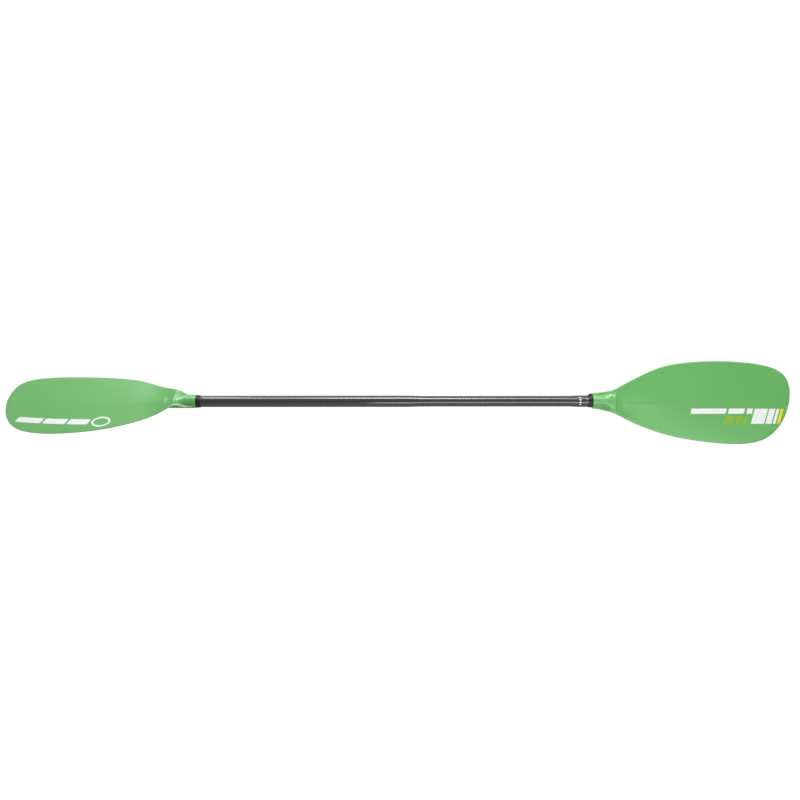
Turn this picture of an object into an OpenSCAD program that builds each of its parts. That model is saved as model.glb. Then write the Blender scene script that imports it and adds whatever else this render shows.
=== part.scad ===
// Double-bladed river paddle: one-piece composite shaft with two moulded blades bonded on its ends.
// X runs along the shaft, +Z is up, and the right blade stands upright with its power face towards -Y.

/* [Shaft] */
// Distance between the mouths of the two blade necks
grip_span = 993; // [935:2:1055]
// Outer diameter of the round shaft
shaft_d = 28.6; // [27.6:0.2:29]
// Wall of the shaft tube
shaft_wall = 2; // [1.5:0.25:3]
// How much thinner the shaft is where it was scuffed for bonding
scuff = 0.2; // [0.1:0.1:0.4]
// Length of shaft inside each neck
socket_depth = 46; // [36:1:48]

/* [Index grip] */
// Height of the oval index grip
oval_height = 26.6; // [25:0.2:28]
// Depth of the oval index grip, across the palm
oval_depth = 30.6; // [28.6:0.2:32]
// Where the oval grip starts, measured from the middle of the shaft
oval_start = 80; // [60:5:160]
// Where the oval grip ends
oval_end = 438; // [300:2:440]
// Length of the blend from round to oval at the middle
oval_lead = 50; // [20:5:50]
// Length of the blend back to round near the blade
oval_tail = 22; // [12:1:30]

/* [Blades] */
// Angle between the two blades, seen along the shaft
feather = 45; // [0:5:60]
// Half thickness of the blade at its rim
rim_half = 1.5; // [1.2:0.1:2]
// Extra half thickness in the middle of the blade
belly_half = 0.9; // [0.5:0.1:1.5]
// Outer radius of the neck tube
neck_r = 16.8; // [16.6:0.1:18]
// Length of plain neck before the outline starts to widen
neck_lip = 2.5; // [1:0.5:5]
// Gap filled by adhesive between shaft and neck
glue_gap = 0.5; // [0.3:0.1:0.6]
// How far the crest of the power face lies towards the short side
crest_shift = 6; // [0:1:8]

/* [Seals] */
// Length of each black seal collar
collar_len = 12; // [8:1:16]
// Radius of the collar where it meets the neck
collar_r = 15.8; // [15.2:0.1:16.6]
// Length of the collar's full-width part
collar_flat = 5; // [2:1:7]
// Length of the foam plug in each shaft end
plug_len = 30; // [15:1:40]

/* [Film marks] */
// Thickness of the printed film
film = 0.35; // [0.3:0.05:0.5]
// How deep the film beds into the surface under it
bedding = 0.1; // [0.05:0.01:0.15]

/* [Hidden] */
$fn = 96;
mouth_x = grip_span / 2;
blade_x = mouth_x + neck_lip;
shaft_r = shaft_d / 2;
bond_r = shaft_r - scuff / 2;
socket_r = shaft_r + glue_gap;
bond_end = mouth_x + socket_depth - 1;
free_end = mouth_x - collar_len;
blade_green = [0.42, 0.72, 0.38];
// The grip starts a hair inside the round tube
grip_start_r = shaft_r - 0.03;
grip_sides = 48;
grip_rings = 4;
// How far a slanted film edge moves along the blade for each unit across it
slant = 0.27;
// Length of one flat piece of a film bar
film_step = 22;
// Lobe of the collar that meets the raised long side of the neck
lobe_r = 2.2;
lobe_v = 17.2;
mark_x = oval_end + oval_tail + 2;
mark_len = 5;
tick_width = 3;

// Outline stations from the neck to the tip:
// distance and half width of the long side, then distance and half width of the short side
stations = [
    [0, 20, 0, -18.4],
    [25, 23, 25, -23],
    [47, 28, 47, -30.5],
    [70, 39.5, 70, -41],
    [100, 54.5, 100, -54.8],
    [140, 73.5, 140, -70.5],
    [180, 87.8, 180, -83.3],
    [230, 96.5, 230, -94.5],
    [290, 100.5, 290, -103],
    [350, 99, 350, -107],
    [400, 93.5, 398, -102.5],
    [438, 84, 430, -89],
    [460, 71.5, 454, -65],
    [474, 54, 469, -37],
    [480, 33, 478, -7],
    [481, 20, 480.5, 10]
];
// Sheet height above the shaft axis along the blade, towards the power face: the spoon curve
sheet_curve = [
    [0, 0], [22, 0], [32, 6], [40, 11.5], [48, 13], [56, 12], [64, 9.4], [74, 6], [86, 2.6], [104, -1],
    [125, -3.6],
    [160, -5.8], [205, -7.7], [250, -8.5], [300, -8], [350, -6], [400, -2.5], [440, 1.4], [481, 6.2]
];
// Half width of the raised socket on the power side: it flares into a hood, which ends in a step
hood_width = [[0, neck_r], [26, neck_r], [36, 21], [44, 26], [60, 27], [80, 25], [481, 25]];
// Height of the socket and hood on the power side
hood_height = [[0, neck_r], [28, neck_r], [42, 19.5], [51, 19.5], [54, 17], [57, 6], [60, 0], [481, 0]];
// How far the hood and then the crest lie towards the short side
core_shift = [[0, 0], [26, 0], [46, 3], [62, crest_shift], [481, crest_shift]];
// How square the hood's section is (2 is round)
hood_power = [[0, 2], [30, 2], [42, 2.6], [481, 2.6]];
// Height of the crest that starts behind the hood and fades out half way along the blade
crest_height = [
    [0, 0], [60, 0], [68, 0.8], [78, 3.6], [90, 4], [150, 3.2], [230, 1.6], [320, 0], [481, 0]
];
// Share of the half width that the crest spreads over
crest_share = 0.8;
// Depth of the rib on the back, below the shaft axis
rib_depth = [
    [0, neck_r], [60, neck_r], [100, 15.6], [150, 14.4], [205, 13.2], [260, 11.6], [320, 6],
    [380, 0], [481, 0]
];
// Half width of the rib on the back
rib_width = [
    [0, neck_r], [60, neck_r], [100, 15], [150, 13], [205, 11], [260, 9], [320, 7], [481, 7]
];
// Rings for each stretch between two stations, closer together where the hood ends
ring_steps = [2, 5, 8, 4, 3, 3, 3, 3, 3, 3, 3, 3, 3, 3, 3];
// Where the columns lie between the rim and the core of the section
rim_columns = [0, 0.01, 0.035, 0.12, 0.3, 0.6, 0.94];
core_steps = 10;
// Where the columns stop following the crest
wing_end = 420;
// Steepness of the rib's side walls where the sheet lies above the shaft's axis
rib_flank = 10;
// Least distance between the core columns and the rim
rim_room = 0.6;

// Cubic through hand-set stations: index of the stretch, slope at a station, and the value
function stretch(t, x, i = 0) = i >= len(t) - 2 || x < t[i + 1][0] ? i : stretch(t, x, i + 1);
function slope(t, i) = i == 0 || i == len(t) - 1 ? 0 :
    (t[i + 1][1] - t[i - 1][1]) / (t[i + 1][0] - t[i - 1][0]);
function hermite(a, b, ma, mb, f) =
    a * (1 + 2 * f) * pow(1 - f, 2) + ma * f * pow(1 - f, 2)
    + b * f * f * (3 - 2 * f) - mb * f * f * (1 - f);
function curve_at(t, x, i, w) =
    hermite(t[i][1], t[i + 1][1], slope(t, i) * w, slope(t, i + 1) * w, (x - t[i][0]) / w);
function curve(t, x) = let (i = stretch(t, x)) curve_at(t, x, i, t[i + 1][0] - t[i][0]);

// Outline at station number s, with all four columns at once
function row(i) = stations[max(0, min(len(stations) - 1, i))];
function outline(s) = let (i = min(floor(s), len(stations) - 2), f = s - i)
    hermite(row(i), row(i + 1), (row(i + 1) - row(i - 1)) / 2, (row(i + 2) - row(i)) / 2, f);

// Blend of two heights with a small fillet where they cross
fillet = 1.5;
function higher(a, b) = let (h = max(0, fillet - abs(a - b)) / fillet) max(a, b) + h * h * fillet / 4;
function lower(a, b) = -higher(-a, -b);
// Rounded profile, and crest with its edge in the middle
function arch(x, power = 2) = abs(x) >= 1 ? 0 : pow(1 - pow(abs(x), power), 1 / power);
function crest(x) = abs(x) >= 1 ? 0 : pow(1 - abs(x), 2);

// Half thickness of the sheet at distance d from the rim, in a section of half width w
function half_thick(d, w) =
    rim_half * arch(1 - min(1, d / (2 * rim_half))) + belly_half * min(1, d / w);
function face(u, v, d, w) =
    let (sheet = curve(sheet_curve, u), hood = lookup(u, hood_height),
         x = (v + lookup(u, core_shift)) / curve(hood_width, u))
    higher(sheet + half_thick(d, w) + curve(crest_height, u) * crest((v + crest_shift) / (crest_share * w)),
           hood == 0 ? sheet : hood * arch(x, lookup(u, hood_power)));
function back(u, v, d, w) =
    let (under = curve(sheet_curve, u) - half_thick(d, w),
         depth = curve(rib_depth, u), a = curve(rib_width, u))
    depth <= 0 ? under : lower(under, abs(v) < a ? -depth * arch(v / a) : rib_flank * (abs(v) - a));

// Columns across one section, from the short side to the long side, with the core packed closer
function columns(lo, hi, core, mid) = concat(
    [for (f = rim_columns) lo + (mid - core - lo) * f],
    [for (k = [0 : core_steps]) mid + core * sin(-90 + 180 * k / core_steps)],
    [for (k = [len(rim_columns) - 1 : -1 : 0]) hi - (hi - mid - core) * rim_columns[k]]);
function rim_gap(v, o) = max(0, min(v - o[3], o[1] - v));
function along(v, o) = o[2] + (o[0] - o[2]) * (v - o[3]) / (o[1] - o[3]);
function section(s) =
    let (o = outline(s), u = (o[0] + o[2]) / 2, w = (o[1] - o[3]) / 2,
         room = min(o[1], -o[3]) - rim_room,
         mid = u >= wing_end ? (o[1] + o[3]) / 2 : -lookup(u, core_shift),
         reach = u < wing_end ? room - abs(mid) : w / 2,
         fv = columns(o[3], o[1], min(curve(hood_width, u), reach), mid),
         bv = columns(o[3], o[1], min(curve(rib_width, u), reach), u < wing_end ? 0 : mid))
    concat([for (v = fv) [along(v, o), v, face(along(v, o), v, rim_gap(v, o), w)]],
           [for (k = [len(bv) - 2 : -1 : 1]) let (v = bv[k])
               [along(v, o), v, back(along(v, o), v, rim_gap(v, o), w)]]);

rings = concat([for (i = [0 : len(ring_steps) - 1]) for (k = [0 : ring_steps[i] - 1]) i + k / ring_steps[i]],
               [len(stations) - 1]);

// Closed body through rings of points that all have the same count
module skin(loops) {
    n = len(loops[0]);
    last = len(loops) - 1;
    polyhedron(
        points = [for (loop = loops) for (p = loop) p],
        faces = concat(
            [[for (k = [n - 1 : -1 : 0]) k]],
            [for (i = [0 : last - 1]) for (k = [0 : n - 1])
                [i * n + k, i * n + (k + 1) % n, (i + 1) * n + (k + 1) % n]],
            [for (i = [0 : last - 1]) for (k = [0 : n - 1])
                [i * n + k, (i + 1) * n + (k + 1) % n, (i + 1) * n + k]],
            [[for (k = [0 : n - 1]) last * n + k]]),
        convexity = 6);
}

// Blade frame (distance along the blade, across, towards the power face) to the paddle frame
module on_right() {
    translate([blade_x, 0, 0]) rotate([90, 0, 0]) children();
}
module on_left() {
    rotate([-feather, 0, 0]) mirror([1, 0, 0]) on_right() children();
}

module at_mouth() {
    translate([-neck_lip, 0, 0]) children();
}

module blade_body() {
    difference() {
        skin(concat([[for (p = section(0)) p - [neck_lip, 0, 0]]], [for (s = rings) section(s)]));
        at_mouth() translate([-1, 0, 0]) rotate([0, 90, 0]) cylinder(r = socket_r, h = socket_depth + 1);
    }
}

// Seal collar around the scuffed shaft, flared to the neck and wider along the blade
module collar_body() {
    difference() {
        hull() {
            translate([-collar_len, 0, 0]) rotate([0, 90, 0]) cylinder(r = shaft_r + 0.3, h = 1, $fn = 32);
            translate([-collar_flat, 0, 0]) rotate([0, 90, 0])
                cylinder(r = collar_r, h = collar_flat, $fn = 32);
            translate([-collar_flat, lobe_v, 0]) rotate([0, 90, 0])
                cylinder(r = lobe_r, h = collar_flat, $fn = 32);
        }
        translate([-collar_len - 1, 0, 0]) rotate([0, 90, 0]) cylinder(r = bond_r, h = collar_len + 2);
    }
}

module adhesive_body() {
    rotate([0, 90, 0]) difference() {
        cylinder(r = socket_r, h = socket_depth - 1);
        translate([0, 0, -1]) cylinder(r = bond_r, h = socket_depth + 1);
    }
}

module plug_body() {
    translate([socket_depth - 2 - plug_len, 0, 0]) rotate([0, 90, 0])
        cylinder(r = shaft_r - shaft_wall, h = plug_len);
}

module rod(x0, x1, r) {
    translate([x0, 0, 0]) rotate([0, 90, 0]) cylinder(r = r, h = x1 - x0);
}
// Slice of the grip: half height and half depth follow the blend from round (0) to oval (1)
function grip_ring(x, blend) = [for (k = [0 : grip_sides - 1]) let (a = -360 * k / grip_sides)
    [x, (grip_start_r + (oval_depth / 2 - grip_start_r) * blend) * cos(a),
     (grip_start_r + (oval_height / 2 - grip_start_r) * blend) * sin(a)]];
function ease(f) = f * f * (3 - 2 * f);
module grip() {
    skin(concat(
        [grip_ring(oval_start - oval_lead - 1, 0)],
        [for (f = [0 : 1 / grip_rings : 1]) grip_ring(oval_start - oval_lead * (1 - f), ease(f))],
        [for (f = [0 : 1 / grip_rings : 1]) grip_ring(oval_end + oval_tail * f, ease(1 - f))],
        [grip_ring(oval_end + oval_tail + 1, 0)]));
}

module shaft() {
    color([0.17, 0.17, 0.18]) difference() {
        union() {
            rod(-bond_end, -free_end, bond_r);
            rod(-free_end, oval_start - oval_lead, shaft_r);
            grip();
            rod(oval_end + oval_tail, free_end, shaft_r);
            rod(free_end, bond_end, bond_r);
        }
        rod(-bond_end - 1, bond_end + 1, shaft_r - shaft_wall);
    }
}

module right_blade() {
    color(blade_green) on_right() blade_body();
}
module left_blade() {
    color(blade_green) on_left() blade_body();
}
module right_collar() {
    color([0.12, 0.12, 0.12]) on_right() at_mouth() collar_body();
}
module left_collar() {
    color([0.12, 0.12, 0.12]) on_left() at_mouth() collar_body();
}
module right_adhesive() {
    color([0.75, 0.72, 0.6]) on_right() at_mouth() adhesive_body();
}
module left_adhesive() {
    color([0.75, 0.72, 0.6]) on_left() at_mouth() adhesive_body();
}
module right_plug() {
    color([0.9, 0.9, 0.85]) on_right() at_mouth() plug_body();
}
module left_plug() {
    color([0.9, 0.9, 0.85]) on_left() at_mouth() plug_body();
}

// Height of the power face at one point, away from the neck
function outline_at(u, s = 0) =
    let (o = outline(s)) s >= len(stations) - 1 || o[0] >= u ? o : outline_at(u, s + 0.05);
function face_height(u, v) = let (o = outline_at(u)) face(u, v, rim_gap(v, o), (o[1] - o[3]) / 2);
function on_face(u, v, lift) = [u, v, face_height(u, v) + lift];

// Slanted bar of film on the power face: distance along the blade at its top edge, the two edges, and
// how far it leans along the blade for each unit across it
module film_bar(u0, u1, v0, v1, lean = slant) {
    pieces = max(1, round((u1 - u0) / film_step));
    function place(k, v, lift) = on_face(u0 + (u1 - u0) * k / pieces + lean * (v - v1), v, lift);
    skin([for (k = [0 : pieces]) [place(k, v0, film - bedding), place(k, v1, film - bedding),
                                  place(k, v1, -bedding), place(k, v0, -bedding)]]);
}

// Oval ring of film on the power face
module film_ring(u, v, ru, rv, band) {
    sides = 36;
    function place(k, r, lift) = let (a = 360 * k / sides)
        on_face(u + (ru - r) * cos(a), v + (rv - r) * sin(a), lift);
    loops = [for (k = [0 : sides - 1]) [place(k, 0, -bedding), place(k, 0, film - bedding),
                                        place(k, band, film - bedding), place(k, band, -bedding)]];
    polyhedron(
        points = [for (loop = loops) for (p = loop) p],
        faces = concat(
            [for (i = [0 : sides - 1]) for (k = [0 : 3])
                [i * 4 + k, ((i + 1) % sides) * 4 + (k + 1) % 4, i * 4 + (k + 1) % 4]],
            [for (i = [0 : sides - 1]) for (k = [0 : 3])
                [i * 4 + k, ((i + 1) % sides) * 4 + k, ((i + 1) % sides) * 4 + (k + 1) % 4]]),
        convexity = 6);
}

module right_stripes() {
    color("white") on_right() {
        film_bar(246, 332, -31.5, -18.5);
        film_bar(338, 376, -31.5, -18.5);
        film_bar(382, 395, -31.5, -18.5);
    }
}
module right_accent() {
    color([0.6, 0.78, 0.25]) on_right() {
        film_bar(328, 352, -56.5, -36.5);
        film_bar(356, 370, -56.5, -36.5);
        film_bar(374, 384, -56.5, -36.5);
    }
}
module right_panel() {
    color("white") on_right() {
        film_bar(399, 430, -56.5, -19);
        film_bar(433, 447, -56.5, -19);
        film_bar(450, 456, -56.5, -19);
    }
}
module right_tag() {
    color([0.85, 0.75, 0.15]) on_right() film_bar(459, 466, -56, -19);
}
module left_stripes() {
    color("white") on_left() {
        film_bar(250, 300, -75, -57.5, -slant);
        film_bar(306, 360, -75, -57.5, -slant);
        film_bar(366, 426, -75, -57.5, -slant);
    }
}
module left_roundel() {
    color("white") on_left() film_ring(222, -66, 23.5, 17, 5);
}

// Four ticks around the shaft that show where the oval grip ends
module index_marks() {
    color("white") intersection() {
        rotate([0, 90, 0]) translate([0, 0, mark_x]) difference() {
            cylinder(r = shaft_r + film - bedding, h = mark_len);
            translate([0, 0, -1]) cylinder(r = shaft_r - bedding, h = mark_len + 2);
        }
        for (a = [-36 : 24 : 36])
            rotate([a, 0, 0]) translate([mark_x - 1, -2 * shaft_r, -tick_width / 2])
                cube([mark_len + 2, 2 * shaft_r, tick_width]);
    }
}

shaft();
right_blade();
left_blade();
right_collar();
left_collar();
right_adhesive();
left_adhesive();
right_plug();
left_plug();
right_stripes();
right_accent();
right_panel();
right_tag();
left_stripes();
left_roundel();
index_marks();
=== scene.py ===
"""Feathered river paddle with a woven composite shaft and two moulded nylon blades."""
import logging
import math
from dataclasses import dataclass
from enum import Enum

import bmesh
import bpy
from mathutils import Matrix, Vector


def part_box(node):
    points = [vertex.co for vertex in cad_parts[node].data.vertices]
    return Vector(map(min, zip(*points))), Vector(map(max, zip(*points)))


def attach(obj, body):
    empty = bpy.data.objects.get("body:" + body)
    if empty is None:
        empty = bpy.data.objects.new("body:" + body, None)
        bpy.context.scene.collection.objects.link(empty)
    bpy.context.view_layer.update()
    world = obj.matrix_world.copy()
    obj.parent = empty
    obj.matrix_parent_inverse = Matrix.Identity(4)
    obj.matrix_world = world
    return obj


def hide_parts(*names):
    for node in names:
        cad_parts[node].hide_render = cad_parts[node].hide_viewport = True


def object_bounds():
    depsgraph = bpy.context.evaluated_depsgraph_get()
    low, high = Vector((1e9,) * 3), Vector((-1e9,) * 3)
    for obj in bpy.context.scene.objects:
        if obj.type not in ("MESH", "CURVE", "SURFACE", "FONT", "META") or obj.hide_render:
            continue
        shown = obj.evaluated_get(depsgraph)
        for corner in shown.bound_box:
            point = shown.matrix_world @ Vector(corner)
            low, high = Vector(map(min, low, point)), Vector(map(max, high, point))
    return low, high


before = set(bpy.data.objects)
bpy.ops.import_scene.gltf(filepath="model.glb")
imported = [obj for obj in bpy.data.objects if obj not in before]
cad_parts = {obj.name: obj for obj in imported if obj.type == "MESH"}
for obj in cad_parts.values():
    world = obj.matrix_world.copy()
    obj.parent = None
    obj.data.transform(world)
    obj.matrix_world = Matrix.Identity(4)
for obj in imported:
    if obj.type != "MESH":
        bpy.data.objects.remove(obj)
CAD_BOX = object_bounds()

log = logging.getLogger("paddle")

Point = tuple[float, float, float]
Colour = tuple[float, float, float]
Loop = list[Point]
Curve = tuple[tuple[float, float], ...]
Faces = list[tuple[int, ...]]

# Sizes are in millimetres, except where a docstring says metres.
MM = 0.001
FILM = 0.35
BEDDING = 0.1
FILM_LIFTS = (FILM - BEDDING, -BEDDING)
SLANT = 0.27
RIM = "rim"
WHITE = (1.0, 1.0, 1.0)


class Side(Enum):
    """Which end of the shaft a piece belongs to."""

    RIGHT = "right"
    LEFT = "left"


class Motif(Enum):
    """The shape of one film mark on a blade."""

    BARS = "bars"
    RING = "ring"


# ---------------------------------------------------------------- curves and plane geometry


def hermite(a: float, b: float, ma: float, mb: float, f: float) -> float:
    """Cubic between two values.

    Args:
        a: Value at the start.
        b: Value at the end.
        ma: Slope at the start, for the whole stretch.
        mb: Slope at the end, for the whole stretch.
        f: Share of the stretch, from 0 to 1.

    Returns:
        The value at f.
    """
    g = 1 - f
    return a * (1 + 2 * f) * g * g + ma * f * g * g + b * f * f * (3 - 2 * f) - mb * f * f * g


def station_slope(table: Curve, i: int) -> float:
    """Slope of a profile at one of its stations, level at both ends.

    Args:
        table: Stations as (distance, value).
        i: Index of the station.

    Returns:
        The slope.
    """
    if i in (0, len(table) - 1):
        return 0.0
    before, after = table[i - 1], table[i + 1]
    return (after[1] - before[1]) / (after[0] - before[0])


def smooth(table: Curve, x: float) -> float:
    """Value of a profile on a smooth curve through its stations.

    Args:
        table: Stations as (distance, value).
        x: Distance.

    Returns:
        The value at x.
    """
    x = min(max(x, table[0][0]), table[-1][0])
    i = 0
    while i < len(table) - 2 and x >= table[i + 1][0]:
        i += 1
    width = table[i + 1][0] - table[i][0]
    start, end = station_slope(table, i) * width, station_slope(table, i + 1) * width
    return hermite(table[i][1], table[i + 1][1], start, end, (x - table[i][0]) / width)


def straight(table: Curve, x: float) -> float:
    """Value of a profile on straight lines through its stations.

    Args:
        table: Stations as (distance, value).
        x: Distance.

    Returns:
        The value at x.
    """
    x = min(max(x, table[0][0]), table[-1][0])
    for (a, p), (b, q) in zip(table, table[1:]):
        if x <= b:
            return p + (q - p) * (x - a) / (b - a)
    return table[-1][1]


def arch(x: float, power: float = 2.0) -> float:
    """Height of a rounded arch of unit height, from -1 to 1.

    Args:
        x: Place across the arch.
        power: 2 for a half circle, more for a flatter top.

    Returns:
        The height, 0 outside the arch.
    """
    return 0.0 if abs(x) >= 1 else (1 - abs(x) ** power) ** (1 / power)


def ease(f: float) -> float:
    """Smooth step from 0 to 1."""
    f = min(max(f, 0.0), 1.0)
    return f * f * (3 - 2 * f)


def higher(a: float, b: float, fillet: float) -> float:
    """Upper of two heights, with a fillet where they cross.

    Args:
        a: First height.
        b: Second height.
        fillet: Size of the fillet.

    Returns:
        The blended height.
    """
    h = max(0.0, fillet - abs(a - b)) / fillet
    return max(a, b) + h * h * fillet / 4


def spread(start: float, end: float, steps: int) -> list[float]:
    """Evenly spaced values from one to another, both of them included."""
    return [start + (end - start) * k / steps for k in range(steps + 1)]


def turns(count: int) -> list[float]:
    """Angles that share out a full turn."""
    return [math.tau * k / count for k in range(count)]


def shrink(v: float, n: float, inset: float) -> float:
    """Factor that moves a point towards the axis by a distance."""
    r = math.hypot(v, n)
    return (r - inset) / r


def on_circle(v: float, n: float, r: float) -> tuple[float, float]:
    """Point on a circle, in the same direction from the axis as a given point."""
    scale = r / math.hypot(v, n)
    return v * scale, n * scale


def corner_cut(corner: float, d: float) -> float:
    """How far a rounded corner draws an edge in, at a distance from the edge beside it."""
    inside = max(0.0, corner - d)
    return corner - math.sqrt(max(0.0, corner ** 2 - inside ** 2))


# ---------------------------------------------------------------- shader node helpers


def rgba(colour: Colour) -> tuple[float, float, float, float]:
    """Adds full alpha to a colour."""
    return (*colour, 1.0)


class Graph:
    """Short words for building one node tree."""

    def __init__(self, tree: bpy.types.NodeTree) -> None:
        """Keeps the tree to build in."""
        self.tree = tree

    def join(self, source: object, target: object) -> None:
        """Links two sockets."""
        self.tree.links.new(source, target)

    def feed(self, socket: object, value: object) -> None:
        """Links a socket value in, or sets a plain one.

        Args:
            socket: The input to fill.
            value: A socket or a plain value.
        """
        if isinstance(value, bpy.types.NodeSocket):
            self.join(value, socket)
        else:
            socket.default_value = value

    def math(self, operation: str, a: object, b: object = 0.0, clamp: bool = False) -> object:
        """Adds a Math node.

        Args:
            operation: Blender's name of the operation.
            a: First value or socket.
            b: Second value or socket.
            clamp: Whether the result stays between 0 and 1.

        Returns:
            The result socket.
        """
        node = self.tree.nodes.new("ShaderNodeMath")
        node.operation = operation
        node.use_clamp = clamp
        self.feed(node.inputs[0], a)
        self.feed(node.inputs[1], b)
        return node.outputs[0]

    def ramp(self, value: object, low: float, high: float, out_low: float = 0.0,
             out_high: float = 1.0) -> object:
        """Adds a smooth Map Range node.

        Args:
            value: Socket to map.
            low: Start of the input range.
            high: End of the input range.
            out_low: Result at the start.
            out_high: Result at the end.

        Returns:
            The result socket.
        """
        node = self.tree.nodes.new("ShaderNodeMapRange")
        node.interpolation_type = "SMOOTHSTEP"
        words = {"Value": value, "From Min": low, "From Max": high, "To Min": out_low, "To Max": out_high}
        for name, number in words.items():
            self.feed(node.inputs[name], number)
        return node.outputs["Result"]

    def noise(self, vector: object, scale: object, detail: float, roughness: float = 0.5) -> object:
        """Adds a Noise Texture node.

        Args:
            vector: Coordinates.
            scale: Scale value or socket.
            detail: Number of octaves.
            roughness: Strength of the finer octaves.

        Returns:
            The noise value socket.
        """
        node = self.tree.nodes.new("ShaderNodeTexNoise")
        words = {"Vector": vector, "Scale": scale, "Detail": detail, "Roughness": roughness}
        for name, value in words.items():
            self.feed(node.inputs[name], value)
        return node.outputs["Fac"]

    def stretch(self, vector: object, scale: tuple[float, float, float]) -> object:
        """Adds a Mapping node that only scales.

        Args:
            vector: Coordinates.
            scale: Factor along each axis.

        Returns:
            The scaled coordinates.
        """
        node = self.tree.nodes.new("ShaderNodeMapping")
        self.join(vector, node.inputs["Vector"])
        node.inputs["Scale"].default_value = scale
        return node.outputs["Vector"]

    def mix(self, factor: object, a: object, b: object, mode: str = "MIX") -> object:
        """Adds a colour Mix node.

        Args:
            factor: Share of the second colour.
            a: First colour or socket.
            b: Second colour or socket.
            mode: Blender's blend mode.

        Returns:
            The colour socket.
        """
        node = self.tree.nodes.new("ShaderNodeMix")
        node.data_type = "RGBA"
        node.blend_type = mode
        self.feed(node.inputs[0], factor)
        self.feed(node.inputs[6], a)
        self.feed(node.inputs[7], b)
        return node.outputs[2]

    def seen_directly(self) -> object:
        """Adds a Light Path node and gives its socket for what is seen without a reflection."""
        return self.tree.nodes.new("ShaderNodeLightPath").outputs["Is Camera Ray"]

    def group(self, tree: bpy.types.NodeTree, values: dict[str, object]) -> object:
        """Places a node group.

        Args:
            tree: The group.
            values: Values or sockets for its inputs, by name.

        Returns:
            The group's outputs, by name.
        """
        node = self.tree.nodes.new("ShaderNodeGroup")
        node.node_tree = tree
        for name, value in values.items():
            self.feed(node.inputs[name], value)
        return node.outputs


def new_group(name: str, values: dict[str, float], results: tuple[str, ...]) -> tuple[Graph, object, object]:
    """Starts a shader node group with a Vector input and named numbers.

    Args:
        name: Name of the group.
        values: Name and default of each number that goes in.
        results: Name of each number that comes out.

    Returns:
        The graph, the sockets it is given and the sockets for its results.
    """
    tree = bpy.data.node_groups.new(name, "ShaderNodeTree")
    tree.interface.new_socket("Vector", in_out="INPUT", socket_type="NodeSocketVector")
    for label, value in values.items():
        socket = tree.interface.new_socket(label, in_out="INPUT", socket_type="NodeSocketFloat")
        socket.default_value = value
    for label in results:
        tree.interface.new_socket(label, in_out="OUTPUT", socket_type="NodeSocketFloat")
    given, result = tree.nodes.new("NodeGroupInput"), tree.nodes.new("NodeGroupOutput")
    return Graph(tree), given.outputs, result.inputs


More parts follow.
